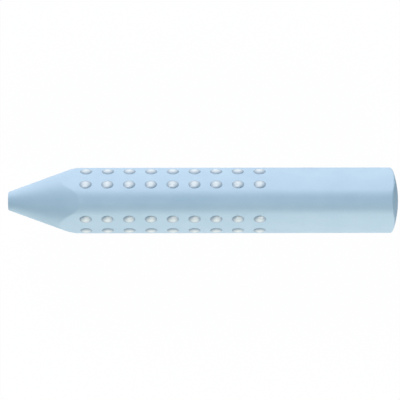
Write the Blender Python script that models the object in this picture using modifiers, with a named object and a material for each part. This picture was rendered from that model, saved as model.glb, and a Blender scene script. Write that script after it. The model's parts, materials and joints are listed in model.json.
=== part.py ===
"""Three-sided grip eraser: a moulded rubber body with white grip dots seated in its faces.

The eraser lies on one face with a corner up. X runs along it, with the conical tip at -X, and Z is up.
The origin is the centre of its footprint, on the surface that it rests on. Sizes are in metres.
"""

import math

import bmesh
import bpy
from mathutils import Matrix

# The body: its length over all, its width over two corners, and the radii of its section and its ends.
LENGTH = 0.0900
WIDTH = 0.0152
CORNER_RADIUS = 0.0040
FACE_RADIUS = 0.0220
TIP_DIAMETER = 0.0042
TIP_EDGE_RADIUS = 0.00035
TIP_HALF_ANGLE = math.radians(20)
REAR_DOME_RADIUS = 0.0216

# The grip dots: each is a dome on a short root, which fills a blind pocket in the rubber.
DOT_DIAMETER = 0.0028
DOT_HEIGHT = 0.00036
DOT_PITCH = 0.0050
DOTS_PER_ROW = 9
FIRST_DOT_FROM_TIP = 0.0180
ROW_SPACING = 0.0056
POCKET_DEPTH = 0.00060
POCKET_CLEARANCE = 0.00010

# How finely the round shapes are faceted. Odd counts leave a flat strip in the middle of each face and corner.
CORNER_FACETS = 11
FACE_FACETS = 5
BODY_FACETS = 48
DOME_RINGS = 6
TIP_EDGE_RINGS = 3
DOT_FACETS = 12
DOT_RINGS = 3

# A cutter reaches this far past what it cuts. Points of a turned profile nearer than MERGE become one.
CUTTER_MARGIN = 0.0010
MERGE = 0.000001

# Each face is the base face turned about the eraser's axis. At a turn of zero, a face would point up.
FACE_TURNS = {"base": math.radians(180), "front": math.radians(60), "back": math.radians(-60)}
CORNER_DIRECTIONS = [math.radians(angle) for angle in (90, 210, 330)]
HALF_SIDE = math.radians(60)

# The section: three corner arcs, joined by three face arcs that run into them without an edge.
corner_distance = (WIDTH / 2 - CORNER_RADIUS) / math.cos(HALF_SIDE / 2)
arc_difference = FACE_RADIUS - CORNER_RADIUS
face_setback = (math.sqrt(4 * arc_difference**2 - 3 * corner_distance**2) - corner_distance) / 2
face_half_angle = math.atan2(
    corner_distance * math.sin(HALF_SIDE),
    face_setback + corner_distance * math.cos(HALF_SIDE),
)
corner_reach = corner_distance + CORNER_RADIUS

# The eraser's own axes: local Z of a turned or extruded shape runs from the tip to the rear end, along X.
ALONG_AXIS = Matrix(((0, 0, 1, 0), (1, 0, 0, 0), (0, 1, 0, 0), (0, 0, 0, 1)))


def arc_points(centre, radius, middle, half_angle, count):
    """The first `count` points of an arc in `count` equal steps; its end is the start of the next arc."""
    start = middle - half_angle
    step = 2 * half_angle / count
    angles = [start + step * index for index in range(count)]
    return [(centre[0] + radius * math.cos(a), centre[1] + radius * math.sin(a)) for a in angles]


def section_outline():
    """The eraser's cross-section as points across (Y) and up (Z), around its axis."""
    outline = []
    for corner in CORNER_DIRECTIONS:
        corner_centre = (corner_distance * math.cos(corner), corner_distance * math.sin(corner))
        face = corner + HALF_SIDE
        face_centre = (-face_setback * math.cos(face), -face_setback * math.sin(face))
        corner_half_angle = HALF_SIDE - face_half_angle
        outline += arc_points(corner_centre, CORNER_RADIUS, corner, corner_half_angle, CORNER_FACETS)
        outline += arc_points(face_centre, FACE_RADIUS, face, face_half_angle, FACE_FACETS)
    return outline


def envelope_profile():
    """The turned shape that forms both ends, as (radius, distance from the tip), from the rear to the tip."""
    outer_radius = corner_reach + CUTTER_MARGIN
    dome_centre = LENGTH - REAR_DOME_RADIUS
    dome_angle = math.asin(outer_radius / REAR_DOME_RADIUS)
    profile = []
    for ring in range(DOME_RINGS + 1):
        angle = dome_angle * ring / DOME_RINGS
        profile.append((REAR_DOME_RADIUS * math.sin(angle), dome_centre + REAR_DOME_RADIUS * math.cos(angle)))

    tip_radius = TIP_DIAMETER / 2
    slope = math.tan(TIP_HALF_ANGLE)
    profile.append((outer_radius, (outer_radius - tip_radius) / slope))
    edge_centre = tip_radius + TIP_EDGE_RADIUS * (slope - 1 / math.cos(TIP_HALF_ANGLE))
    edge_turn = math.pi / 2 - TIP_HALF_ANGLE
    for ring in range(TIP_EDGE_RINGS + 1):
        angle = TIP_HALF_ANGLE + edge_turn * ring / TIP_EDGE_RINGS
        radius = edge_centre + TIP_EDGE_RADIUS * math.cos(angle)
        profile.append((radius, TIP_EDGE_RADIUS * (1 - math.sin(angle))))
    profile.append((0, 0))
    return profile


def dot_profile():
    """A grip dot as (radius, height above the face), from the top of its dome to the foot of its root."""
    dot_radius = DOT_DIAMETER / 2
    dome_radius = (dot_radius**2 + DOT_HEIGHT**2) / (2 * DOT_HEIGHT)
    dome_angle = math.atan2(dot_radius, dome_radius - DOT_HEIGHT)
    profile = []
    for ring in range(DOT_RINGS + 1):
        angle = dome_angle * ring / DOT_RINGS
        profile.append((dome_radius * math.sin(angle), DOT_HEIGHT - dome_radius * (1 - math.cos(angle))))
    root = POCKET_DEPTH - POCKET_CLEARANCE
    return profile + [(dot_radius, -root), (0, -root)]


def pocket_profile():
    """The cutter of a dot's pocket: a plain plug that stands out of the face."""
    pocket_radius = DOT_DIAMETER / 2 + POCKET_CLEARANCE
    top = DOT_HEIGHT + CUTTER_MARGIN
    return [(0, top), (pocket_radius, top), (pocket_radius, -POCKET_DEPTH), (0, -POCKET_DEPTH)]


def profile_mesh(name, profile):
    """A chain of edges in the XZ plane, for turning about Z."""
    mesh = bpy.data.meshes.new(name)
    points = [(radius, 0, height) for radius, height in profile]
    edges = [(index, index + 1) for index in range(len(points) - 1)]
    mesh.from_pydata(points, edges, [])
    return mesh


def turned_object(name, mesh, facets, collection):
    """A new object that turns a profile once round its local Z axis."""
    turned = bpy.data.objects.new(name, mesh)
    collection.objects.link(turned)
    screw = turned.modifiers.new("turn", "SCREW")
    screw.steps = facets
    screw.render_steps = facets
    screw.use_merge_vertices = True
    screw.merge_threshold = MERGE
    screw.use_smooth_shade = True
    return turned


def extruded_object(name, outline, depth, collection):
    """A closed mesh of a flat outline, extruded along local Z from 0 to depth."""
    curve = bpy.data.curves.new(name, "CURVE")
    curve.dimensions = "2D"
    curve.fill_mode = "BOTH"
    curve.extrude = depth / 2
    spline = curve.splines.new("POLY")
    spline.points.add(len(outline) - 1)
    for point, (across, up) in zip(spline.points, outline):
        point.co = (across, up, 0, 1)
    spline.use_cyclic_u = True
    drawn = bpy.data.objects.new(name + "_outline", curve)
    collection.objects.link(drawn)

    depsgraph = bpy.context.evaluated_depsgraph_get()
    mesh = bpy.data.meshes.new_from_object(drawn.evaluated_get(depsgraph))
    mesh.name = name
    bpy.data.objects.remove(drawn)
    mesh.transform(Matrix.Translation((0, 0, depth / 2)))
    welded = bmesh.new()
    welded.from_mesh(mesh)
    bmesh.ops.remove_doubles(welded, verts=welded.verts, dist=MERGE)
    welded.to_mesh(mesh)
    welded.free()
    solid = bpy.data.objects.new(name, mesh)
    collection.objects.link(solid)
    return solid


def rubber(name, srgb, roughness):
    """A plain rubber of an 8-bit sRGB colour."""
    levels = [value / 255 for value in srgb]
    linear = [((level + 0.055) / 1.055) ** 2.4 for level in levels]
    material = bpy.data.materials.new(name)
    material.use_nodes = True
    shader = material.node_tree.nodes["Principled BSDF"]
    shader.inputs["Base Color"].default_value = (*linear, 1)
    shader.inputs["Roughness"].default_value = roughness
    shader.inputs["Metallic"].default_value = 0
    return material


def dot_places():
    """Yields each dot's name and its place on the body, with local Z out of the face."""
    row_angle = ROW_SPACING / 2 / FACE_RADIUS
    for face, turn in FACE_TURNS.items():
        face_arc = Matrix.Rotation(turn, 4, "X") @ Matrix.Translation((0, 0, -face_setback))
        for row, row_turn in enumerate((row_angle, -row_angle), start=1):
            for number in range(1, DOTS_PER_ROW + 1):
                along = FIRST_DOT_FROM_TIP + (number - 1) * DOT_PITCH
                on_row = Matrix.Rotation(row_turn, 4, "X") @ Matrix.Translation((along, 0, FACE_RADIUS))
                yield f"grip_dot_{face}_row{row}_{number}", face_arc @ on_row


def lowest_height(items):
    """The height of the lowest point of the given objects, with their modifiers."""
    depsgraph = bpy.context.evaluated_depsgraph_get()
    heights = []
    for item in items:
        shape = item.evaluated_get(depsgraph)
        heights += [(shape.matrix_world @ vertex.co).z for vertex in shape.data.vertices]
    return min(heights)


for leftover in list(bpy.data.objects):
    bpy.data.objects.remove(leftover)

eraser = bpy.data.collections.new("grip_eraser")
cutters = bpy.data.collections.new("cutters")
pockets = bpy.data.collections.new("pocket_cutters")
bpy.context.scene.collection.children.link(eraser)
bpy.context.scene.collection.children.link(cutters)
cutters.children.link(pockets)

# Everything hangs on the eraser's axis, whose origin is the middle of the tip's flat end.
axis = bpy.data.objects.new("eraser_axis", None)
eraser.objects.link(axis)
axis.location.x = -LENGTH / 2

# The body is the three-sided bar, cut to the turned shape of its two ends.
body = extruded_object("eraser_body", section_outline(), LENGTH, eraser)
body.parent = axis
body.matrix_local = ALONG_AXIS
body.data.shade_smooth()
body.data.materials.append(rubber("pale_blue_rubber", (190, 215, 238), 0.6))

ends = turned_object("end_shape", profile_mesh("end_shape", envelope_profile()), BODY_FACETS, cutters)
ends.parent = axis
ends.matrix_local = ALONG_AXIS
form_ends = body.modifiers.new("form_ends", "BOOLEAN")
form_ends.operation = "INTERSECT"
form_ends.object = ends

# Each dot and the cutter of its pocket stand at the same place.
dot_mesh = profile_mesh("grip_dot", dot_profile())
dot_mesh.materials.append(rubber("white_rubber", (220, 226, 231), 0.35))
pocket_mesh = profile_mesh("dot_pocket", pocket_profile())
dots = []
for dot_name, place in dot_places():
    dot = turned_object(dot_name, dot_mesh, DOT_FACETS, eraser)
    pocket = turned_object(dot_name.replace("grip_dot", "pocket"), pocket_mesh, DOT_FACETS, pockets)
    for piece in (dot, pocket):
        piece.parent = axis
        piece.matrix_local = place
    dots.append(dot)
cut_pockets = body.modifiers.new("cut_pockets", "BOOLEAN")
cut_pockets.operation = "DIFFERENCE"
cut_pockets.operand_type = "COLLECTION"
cut_pockets.collection = pockets

for cutter in cutters.all_objects:
    cutter.hide_render = True
    cutter.display_type = "WIRE"

# The eraser rests on the dots of its base face.
bpy.context.view_layer.update()
axis.location.z = -lowest_height(dots + [body])
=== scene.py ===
import json
import math

import bmesh
import bpy
from mathutils import Matrix, Vector


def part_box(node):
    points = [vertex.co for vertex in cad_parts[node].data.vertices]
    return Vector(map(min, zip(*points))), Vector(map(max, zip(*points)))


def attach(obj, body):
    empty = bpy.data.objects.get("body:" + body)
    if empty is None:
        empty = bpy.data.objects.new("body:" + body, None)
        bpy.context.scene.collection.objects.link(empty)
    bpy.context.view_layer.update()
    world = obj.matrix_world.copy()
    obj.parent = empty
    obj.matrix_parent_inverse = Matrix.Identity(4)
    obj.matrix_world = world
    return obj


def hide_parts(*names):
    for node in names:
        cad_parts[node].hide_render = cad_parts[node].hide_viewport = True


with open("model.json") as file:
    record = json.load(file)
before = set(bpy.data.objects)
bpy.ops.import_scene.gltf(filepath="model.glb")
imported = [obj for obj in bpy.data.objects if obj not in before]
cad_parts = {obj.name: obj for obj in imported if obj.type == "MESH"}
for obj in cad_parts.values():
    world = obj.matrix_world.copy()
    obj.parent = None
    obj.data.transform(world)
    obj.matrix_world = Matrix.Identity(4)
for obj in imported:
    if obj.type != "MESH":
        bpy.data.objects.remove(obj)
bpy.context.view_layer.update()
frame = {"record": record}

# The bar of the eraser: one solid piece of soft, pale blue rubber, moulded in a single shot.
# It has three slightly crowned faces between wide round corners, tapers to a blunt cone at one end
# and closes in a low dome at the other. The mould leaves every edge a little rounded.
half_width = 0.0076
corner_radius = 0.0040
face_radius = 0.0220
tip_radius = 0.0021
cone_half_angle = math.radians(20)
rear_dome_radius = 0.0216

# The finished skin lies a hair inside these sizes, at the sides and at the rear end.
rubbed_down = 0.000015
rear_trim = 0.00001
corner_skin = corner_radius - rubbed_down
face_skin = face_radius - rubbed_down
bar_low, bar_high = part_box("eraser_body")
tip_end = bar_low[0]
bar_length = bar_high[0] - bar_low[0] - rear_trim
tip_flat = next(mount for mount in frame["record"]["mounts"] if mount["name"] == "tip_end")
axis_height = tip_flat["pos_m"][2]
taper = math.tan(cone_half_angle)

# Points of a ring this near to each other, or to their place, count as one.
same_place = 0.000001

# The section is three corner arcs, joined by three face arcs that run into them without an edge.
upper_corner = math.radians(90)
third_turn = math.radians(120)
half_side = third_turn / 2
corner_centre = (half_width - corner_radius) / math.cos(half_side / 2)
arc_difference = face_radius - corner_radius
corner_across = corner_centre * math.sin(half_side)
face_setback = math.sqrt(arc_difference**2 - corner_across**2) - corner_centre * math.cos(half_side)
corner_turn = half_side - math.asin(corner_across / arc_difference)
corner_span = math.atan2(
    corner_skin * math.sin(corner_turn),
    corner_centre + corner_skin * math.cos(corner_turn),
)


def side_reach(bearing):
    """How far the bar's side stands from its axis, at a bearing round the axis from straight across."""
    from_corner = abs((bearing - upper_corner + half_side) % third_turn - half_side)
    if from_corner < corner_span:
        along = corner_centre * math.cos(from_corner)
        return along + math.sqrt(corner_skin**2 - corner_centre**2 + along**2)
    along = -face_setback * math.cos(half_side - from_corner)
    return along + math.sqrt(face_skin**2 - face_setback**2 + along**2)


def shoulder(reach):
    """The distance from the tip at which the cone runs out into a side of that reach."""
    return (reach - tip_radius) / taper


def rear_end(radius):
    """The distance from the tip to the rear dome, at a radius from the axis."""
    return bar_length - rear_dome_radius + math.sqrt(rear_dome_radius**2 - radius**2)


def draw_out(distance_at, radius_at):
    """Extrudes the open end of the bar by one ring, whose points keep their bearings round the axis."""
    bpy.ops.mesh.extrude_region_move()
    rubber = bmesh.from_edit_mesh(bar.data)
    for point in [point for point in rubber.verts if point.select]:
        bearing = math.atan2(point.co.z - axis_height, point.co.y)
        reach = side_reach(bearing)
        radius = radius_at(reach)
        point.co = (
            tip_end + distance_at(reach),
            radius * math.cos(bearing),
            axis_height + radius * math.sin(bearing),
        )
    bmesh.update_edit_mesh(bar.data)


def pick_ring(distance_at, radius_at):
    """Selects the ring of edges that stands at that distance and radius, and nothing else."""
    bpy.ops.mesh.select_all(action="DESELECT")
    rubber = bmesh.from_edit_mesh(bar.data)
    on_ring = set()
    for point in rubber.verts:
        reach = side_reach(math.atan2(point.co.z - axis_height, point.co.y))
        radius = math.hypot(point.co.y, point.co.z - axis_height)
        off = abs(point.co.x - tip_end - distance_at(reach)) + abs(radius - radius_at(reach))
        if off < same_place:
            on_ring.add(point)
    for edge in rubber.edges:
        edge.select = on_ring.issuperset(edge.verts)
    rubber.select_flush_mode()
    bmesh.update_edit_mesh(bar.data)


def round_off(distance_at, radius_at, rounding, steps):
    """Rounds the ring of edges that stands at that distance and radius."""
    pick_ring(distance_at, radius_at)
    bpy.ops.mesh.bevel(offset=rounding, segments=steps, profile=0.5, affect="EDGES")


ring_points = 240
bpy.ops.object.select_all(action="DESELECT")
bpy.ops.mesh.primitive_circle_add(
    vertices=ring_points,
    radius=tip_radius,
    location=(tip_end, 0, axis_height),
    rotation=(0, math.radians(90), 0),
)
bar = bpy.context.object
bar.name = "rubber_bar"
bpy.ops.object.transform_apply(location=True, rotation=True, scale=True)
bpy.ops.object.mode_set(mode="EDIT")
bpy.ops.mesh.select_mode(type="EDGE")
bpy.ops.mesh.select_all(action="SELECT")

# The bar is drawn out ring by ring: up the cone, along the sides, and in over the dome to its middle.
cone_parts = (0.12, 0.35, 0.6, 0.85, 1.0)
side_rings = 30
dome_parts = (0.9, 0.75, 0.6, 0.45, 0.3, 0.15)
dome_middle = 0.001
for part in cone_parts:
    draw_out(
        lambda reach: shoulder(reach) * part,
        lambda reach: tip_radius + shoulder(reach) * taper * part,
    )
for ring in range(1, side_rings + 1):
    draw_out(
        lambda reach: shoulder(reach) + (rear_end(reach) - shoulder(reach)) * ring / side_rings,
        lambda reach: reach,
    )
for part in dome_parts:
    draw_out(lambda reach: rear_end(reach * part), lambda reach: reach * part)
draw_out(lambda reach: bar_length, lambda reach: reach * dome_middle)
bpy.ops.mesh.merge(type="CENTER")

# The flat of the tip is filled, and the edges of the tip, the shoulder and the rear end are rounded.
tip_rounding = 0.00025
shoulder_rounding = 0.00030
rear_rounding = 0.00030
pick_ring(lambda reach: 0, lambda reach: tip_radius)
bpy.ops.mesh.edge_face_add()
round_off(lambda reach: 0, lambda reach: tip_radius, tip_rounding, steps=4)
round_off(shoulder, lambda reach: reach, shoulder_rounding, steps=4)
round_off(rear_end, lambda reach: reach, rear_rounding, steps=5)
bpy.ops.mesh.select_all(action="SELECT")
bpy.ops.mesh.remove_doubles(threshold=same_place)
bpy.ops.mesh.normals_make_consistent(inside=False)
bpy.ops.object.mode_set(mode="OBJECT")

# The pockets of the bar: round blind holes with a softened mouth, moulded with the rubber.
# Two rows of nine run along every face, and each pocket takes the root of one grip nub.
nub_radius = 0.00139
nub_gap = 0.00001
nub_pitch = 0.0050
nubs_per_row = 9
first_nub = 0.0180
row_spacing = 0.0056
face_turns = {"base": math.radians(180), "front": math.radians(60), "back": math.radians(-60)}
row_lean = row_spacing / 2 / face_radius
nub_places = {}
for face, turn in face_turns.items():
    face_arc = Matrix.Translation((tip_end, 0, axis_height)) @ Matrix.Rotation(turn, 4, "X")
    face_arc = face_arc @ Matrix.Translation((0, 0, -face_setback))
    for row, lean in enumerate((row_lean, -row_lean), start=1):
        for number in range(1, nubs_per_row + 1):
            along = first_nub + (number - 1) * nub_pitch
            seat = Matrix.Rotation(lean, 4, "X") @ Matrix.Translation((along, 0, face_skin))
            nub_places[f"{face}_row{row}_{number}"] = face_arc @ seat

# A plug in the shape of one pocket. Each step of its wall has its rise, and how much wider it is than
# the floor of the pocket.
pocket_depth = 0.00060
pocket_points = 48
pocket_radius = nub_radius + nub_gap
wall_steps = ((0.00052, 0.0), (0.00005, 0.000005), (0.00005, 0.00002), (0.00100, 0.00110))
bpy.ops.object.select_all(action="DESELECT")
bpy.ops.mesh.primitive_circle_add(
    vertices=pocket_points,
    radius=pocket_radius,
    fill_type="NGON",
    location=(0, 0, -pocket_depth),
)
plug = bpy.context.object
bpy.ops.object.transform_apply(location=True, rotation=True, scale=True)
bpy.ops.object.mode_set(mode="EDIT")
bpy.ops.mesh.select_all(action="SELECT")
reached = pocket_radius
for rise, wider in wall_steps:
    growth = (pocket_radius + wider) / reached
    bpy.ops.mesh.extrude_region_move(TRANSFORM_OT_translate={"value": (0, 0, rise)})
    bpy.ops.transform.resize(value=(growth, growth, 1), center_override=(0, 0, 0))
    reached *= growth
bpy.ops.mesh.select_all(action="SELECT")
bpy.ops.mesh.normals_make_consistent(inside=False)
bpy.ops.object.mode_set(mode="OBJECT")

# A copy of the plug goes to every place, and all of them are cut out of the bar at once.
bpy.ops.object.select_all(action="DESELECT")
for name, place in nub_places.items():
    placed_plug = bpy.data.objects.new("plug_" + name, plug.data.copy())
    placed_plug.data.transform(place)
    bpy.context.collection.objects.link(placed_plug)
    placed_plug.select_set(True)
bpy.context.view_layer.objects.active = placed_plug
bpy.ops.object.join()
plugs = bpy.context.object
bpy.data.objects.remove(plug)

bar_crease = math.radians(28)
bpy.ops.object.select_all(action="DESELECT")
bar.select_set(True)
bpy.context.view_layer.objects.active = bar
cut = bar.modifiers.new("pockets", "BOOLEAN")
cut.operation = "DIFFERENCE"
cut.solver = "EXACT"
cut.object = plugs
bpy.ops.object.modifier_apply(modifier="pockets")
bpy.data.objects.remove(plugs)
bpy.ops.object.shade_smooth_by_angle(angle=bar_crease)

# The skin that both rubbers share, as it comes out of the mould: cloudy patches a few millimetres wide,
# fine specks of filler, and a matte grain. Each layer has the scale and the detail of its noise, and then
# the lowest and highest noise between which it goes from none to full.
skin_layers = (
    ("Cloud", 180.0, 3.0, 0.35, 0.65),
    ("Speck", 2200.0, 1.0, 0.62, 0.72),
    ("Grain", 5200.0, 4.0, 0.25, 0.75),
)
grain_depth = 0.00002
rubber_skin = bpy.data.node_groups.new("moulded_rubber_skin", "ShaderNodeTree")
skin_sockets = rubber_skin.interface
for layer, scale, *_ in skin_layers:
    layer_scale = skin_sockets.new_socket(layer + " Scale", in_out="INPUT", socket_type="NodeSocketFloat")
    layer_scale.default_value = scale
    skin_sockets.new_socket(layer, in_out="OUTPUT", socket_type="NodeSocketFloat")
skin_in = rubber_skin.nodes.new("NodeGroupInput")
skin_out = rubber_skin.nodes.new("NodeGroupOutput")
skin_place = rubber_skin.nodes.new("ShaderNodeTexCoord")
for layer, _, detail, low, high in skin_layers:
    noise = rubber_skin.nodes.new("ShaderNodeTexNoise")
    noise.inputs["Detail"].default_value = detail
    spread = rubber_skin.nodes.new("ShaderNodeMapRange")
    spread.inputs["From Min"].default_value = low
    spread.inputs["From Max"].default_value = high
    rubber_skin.links.new(skin_place.outputs["Object"], noise.inputs["Vector"])
    rubber_skin.links.new(skin_in.outputs[layer + " Scale"], noise.inputs["Scale"])
    rubber_skin.links.new(noise.outputs["Fac"], spread.inputs["Value"])
    rubber_skin.links.new(spread.outputs["Result"], skin_out.inputs[layer])


def moulded_rubber(name, gloss, smoothest, roughest, grain_strength):
    """A rubber with the shared skin, and that skin's node. Its colour is still to be linked."""
    rubber = bpy.data.materials.new(name)
    rubber.use_nodes = True
    nodes = rubber.node_tree.nodes
    links = rubber.node_tree.links
    shader = nodes["Principled BSDF"]
    shader.inputs["Specular IOR Level"].default_value = gloss
    skin = nodes.new("ShaderNodeGroup")
    skin.node_tree = rubber_skin
    roughness = nodes.new("ShaderNodeMapRange")
    roughness.inputs["To Min"].default_value = smoothest
    roughness.inputs["To Max"].default_value = roughest
    links.new(skin.outputs["Cloud"], roughness.inputs["Value"])
    links.new(roughness.outputs["Result"], shader.inputs["Roughness"])
    grain = nodes.new("ShaderNodeBump")
    grain.inputs["Strength"].default_value = grain_strength
    grain.inputs["Distance"].default_value = grain_depth
    links.new(skin.outputs["Grain"], grain.inputs["Height"])
    links.new(grain.outputs["Normal"], shader.inputs["Normal"])
    return rubber, skin


def linear(*srgb):
    """An 8-bit sRGB colour as a shader's linear one."""
    levels = [value / 255 for value in srgb]
    return (*[((level + 0.055) / 1.055) ** 2.4 for level in levels], 1)


def blend_colours(rubber, amount, first, second):
    """A mix of two colours by an amount; each colour may be a socket or a plain one."""
    links = rubber.node_tree.links
    mix = rubber.node_tree.nodes.new("ShaderNodeMix")
    mix.data_type = "RGBA"
    links.new(amount, mix.inputs["Factor"])
    for socket, colour in ((mix.inputs["A"], first), (mix.inputs["B"], second)):
        if isinstance(colour, bpy.types.NodeSocket):
            links.new(colour, socket)
        else:
            socket.default_value = colour
    return mix.outputs["Result"]


# The finish of the bar: pale blue eraser rubber, matte and a little cloudy, with paler specks of filler.
# It is the bare surface, just as it leaves the mould.
cloud_dark = linear(185, 208, 228)
cloud_light = linear(190, 212, 231)
speck_blue = linear(194, 218, 238)
speck_share = 0.35
blue_rubber, blue_skin = moulded_rubber(
    "pale_blue_rubber",
    gloss=0.2,
    smoothest=0.62,
    roughest=0.74,
    grain_strength=0.3,
)
clouded = blend_colours(blue_rubber, blue_skin.outputs["Cloud"], cloud_dark, cloud_light)
nodes = blue_rubber.node_tree.nodes
links = blue_rubber.node_tree.links
speck_amount = nodes.new("ShaderNodeMath")
speck_amount.operation = "MULTIPLY"
speck_amount.inputs[1].default_value = speck_share
links.new(blue_skin.outputs["Speck"], speck_amount.inputs[0])
specked = blend_colours(blue_rubber, speck_amount.outputs["Value"], clouded, speck_blue)
links.new(specked, nodes["Principled BSDF"].inputs["Base Color"])

bar.data.materials.clear()
bar.data.materials.append(blue_rubber)
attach(bar, "root")
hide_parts("eraser_body")

# The grip nubs: domed studs of a firmer, satin white rubber, each on a short root that fills its pocket.
# The white is painted with a dark blue-grey shade at the thin rim, round the foot of each dome, which
# fades to white towards the top of the dome.
nub_height = 0.00035
root_depth = 0.00050
nub_points = 36
dome_rings = 9
nub_crease = math.radians(50)
dome_radius = (nub_radius**2 + nub_height**2) / (2 * nub_height)
dome_angle = math.asin(nub_radius / dome_radius)

bpy.ops.object.select_all(action="DESELECT")
bpy.ops.mesh.primitive_circle_add(
    vertices=nub_points,
    radius=nub_radius,
    fill_type="NGON",
    location=(0, 0, -root_depth),
)
nub = bpy.context.object
bpy.ops.object.transform_apply(location=True, rotation=True, scale=True)
bpy.ops.object.mode_set(mode="EDIT")
bpy.ops.mesh.select_all(action="SELECT")
bpy.ops.mesh.extrude_region_move(TRANSFORM_OT_translate={"value": (0, 0, root_depth)})
height = 0.0
radius = nub_radius
for ring in range(1, dome_rings):
    angle = dome_angle * (1 - ring / dome_rings)
    next_height = nub_height - dome_radius * (1 - math.cos(angle))
    next_radius = dome_radius * math.sin(angle)
    narrowing = next_radius / radius
    bpy.ops.mesh.extrude_region_move(TRANSFORM_OT_translate={"value": (0, 0, next_height - height)})
    bpy.ops.transform.resize(value=(narrowing, narrowing, 1), center_override=(0, 0, 0))
    height = next_height
    radius = next_radius
bpy.ops.mesh.extrude_region_move(TRANSFORM_OT_translate={"value": (0, 0, nub_height - height)})
bpy.ops.mesh.merge(type="CENTER")
bpy.ops.mesh.select_all(action="SELECT")
bpy.ops.mesh.normals_make_consistent(inside=False)
bpy.ops.object.mode_set(mode="OBJECT")
bpy.ops.object.shade_smooth_by_angle(angle=nub_crease)

# Each point's rise on the nub, from 0 at the rim to 1 at the top, leads its colour from the painted rim
# shade to white.
rise_on_nub = nub.data.attributes.new("rise_on_nub", "FLOAT", "POINT")
for point in nub.data.vertices:
    rise_on_nub.data[point.index].value = point.co.z / nub_height

# The rim colour is painted shade: darker than the blue bar, it stands for the shade in the crease where
# each dome meets its pocket.
painted_rim_shade = linear(152, 170, 187)
top_dark = linear(230, 236, 241)
top_light = linear(233, 239, 243)
fade_start = 0.25
fade_end = 1.1
white_rubber, white_skin = moulded_rubber(
    "white_nub_rubber",
    gloss=0.35,
    smoothest=0.25,
    roughest=0.33,
    grain_strength=0.15,
)
nodes = white_rubber.node_tree.nodes
links = white_rubber.node_tree.links
on_nub = nodes.new("ShaderNodeAttribute")
on_nub.attribute_name = "rise_on_nub"
rim_to_top = nodes.new("ShaderNodeMapRange")
rim_to_top.inputs["From Min"].default_value = fade_start
rim_to_top.inputs["From Max"].default_value = fade_end
links.new(on_nub.outputs["Fac"], rim_to_top.inputs["Value"])
top_white = blend_colours(white_rubber, white_skin.outputs["Cloud"], top_dark, top_light)
faded = blend_colours(white_rubber, rim_to_top.outputs["Result"], painted_rim_shade, top_white)
links.new(faded, nodes["Principled BSDF"].inputs["Base Color"])

nub.data.materials.clear()
nub.data.materials.append(white_rubber)
for name, place in nub_places.items():
    seated = bpy.data.objects.new("grip_nub_" + name, nub.data.copy())
    seated.data.transform(place)
    bpy.context.collection.objects.link(seated)
    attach(seated, "root")
    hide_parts("grip_dot_" + name)
bpy.data.objects.remove(nub)

# The floor: a plain, matte white table top under the eraser. It looks white by itself, also where it is
# mirrored, and a small share of plain paint keeps a trace of the eraser's shadow.
table_size = 3.0
table_paint = (0.6, 0.6, 0.6, 1)
table_white = 1.02
white_share = 0.96
bpy.ops.mesh.primitive_plane_add(size=table_size)
floor = bpy.context.object
floor.name = "floor"
table = bpy.data.materials.new("white_table")
table.use_nodes = True
nodes = table.node_tree.nodes
links = table.node_tree.links
nodes.clear()
table_out = nodes.new("ShaderNodeOutputMaterial")
painted = nodes.new("ShaderNodeBsdfDiffuse")
painted.inputs["Color"].default_value = table_paint
shining = nodes.new("ShaderNodeEmission")
shining.inputs["Strength"].default_value = table_white
rays = nodes.new("ShaderNodeLightPath")
seen = rays.outputs["Is Camera Ray"]
for ray in ("Is Glossy Ray", "Is Transmission Ray"):
    either = nodes.new("ShaderNodeMath")
    either.operation = "ADD"
    either.use_clamp = True
    links.new(seen, either.inputs[0])
    links.new(rays.outputs[ray], either.inputs[1])
    seen = either.outputs["Value"]
share = nodes.new("ShaderNodeMath")
share.operation = "MULTIPLY"
share.inputs[1].default_value = white_share
links.new(seen, share.inputs[0])
surface = nodes.new("ShaderNodeMixShader")
links.new(share.outputs["Value"], surface.inputs["Fac"])
links.new(painted.outputs["BSDF"], surface.inputs[1])
links.new(shining.outputs["Emission"], surface.inputs[2])
links.new(surface.outputs["Shader"], table_out.inputs["Surface"])
floor.data.materials.append(table)

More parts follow.
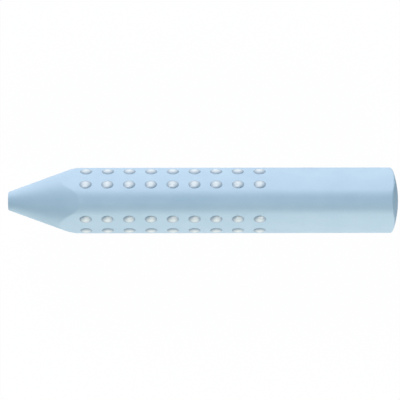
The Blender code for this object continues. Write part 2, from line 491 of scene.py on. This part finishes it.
# The light: a long soft box low on each side of the eraser, so its upper corner is the shaded part,
# and a weak, even, bluish fill from all round. The back box stands a little towards the tip, and the
# front box as far towards the rear end.
box_length = 1.00
box_breadth = 0.44
back_watts = 15.4
back_colour = (1, 0.91, 0.87)
front_watts = 14.6
front_colour = (1, 0.885, 0.755)
fill_colour = (0.18, 0.72, 1, 1)
fill_strength = 0.28
lamp_away = 1.20
lamp_lean = math.radians(70)
lamp_turn = math.radians(12)
lamp_height = axis_height + lamp_away * math.cos(lamp_lean)
lamp_side = lamp_away * math.sin(lamp_lean) * math.cos(lamp_turn)
lamp_along = lamp_away * math.sin(lamp_lean) * math.sin(lamp_turn)


def soft_box(name, place, watts, colour):
    """A rectangular lamp that faces the middle of the eraser, with its long side along it."""
    lamp = bpy.data.lights.new(name, "AREA")
    lamp.shape = "RECTANGLE"
    lamp.size = box_length
    lamp.size_y = box_breadth
    lamp.energy = watts
    lamp.color = colour
    box = bpy.data.objects.new(name, lamp)
    bpy.context.collection.objects.link(box)
    backward = (Vector(place) - Vector((0, 0, axis_height))).normalized()
    upward = backward.cross(Vector((1, 0, 0))).normalized()
    sideways = upward.cross(backward)
    turn = Matrix((sideways, upward, backward)).transposed()
    box.matrix_world = Matrix.Translation(place) @ turn.to_4x4()
    box.visible_camera = False


soft_box("back_soft_box", (-lamp_along, lamp_side, lamp_height), back_watts, back_colour)
soft_box("front_soft_box", (lamp_along, -lamp_side, lamp_height), front_watts, front_colour)
room = bpy.data.worlds.new("even_fill")
bpy.context.scene.world = room
room.use_nodes = True
fill = room.node_tree.nodes["Background"]
fill.inputs["Color"].default_value = fill_colour
fill.inputs["Strength"].default_value = fill_strength

# The camera: it looks down on the eraser from far off, leaning a few degrees to its back, with the tip
# at the left. Its aim is given in the picture's pixels, right and up from the eraser's middle.
camera_away = 0.80
picture_width = 0.09244
picture_pixels = 400
aim_right = -3.2
aim_up = 0.82
film_width = 36
camera_lean = math.radians(2.4)
camera_roll = math.radians(-0.076)
pixel = picture_width / picture_pixels
aim = Vector((aim_right * pixel, aim_up * pixel, axis_height))
lens = bpy.data.cameras.new("camera")
lens.sensor_width = film_width
lens.lens = film_width * camera_away / picture_width
lens.clip_start = 0.01
lens.clip_end = 10
camera = bpy.data.objects.new("camera", lens)
bpy.context.collection.objects.link(camera)
stand = Matrix.Translation(aim + camera_away * Vector((0, math.sin(camera_lean), math.cos(camera_lean))))
camera.matrix_world = stand @ Matrix.Rotation(-camera_lean, 4, "X") @ Matrix.Rotation(camera_roll, 4, "Z")
bpy.context.scene.camera = camera
bpy.context.scene.view_settings.view_transform = "Standard"
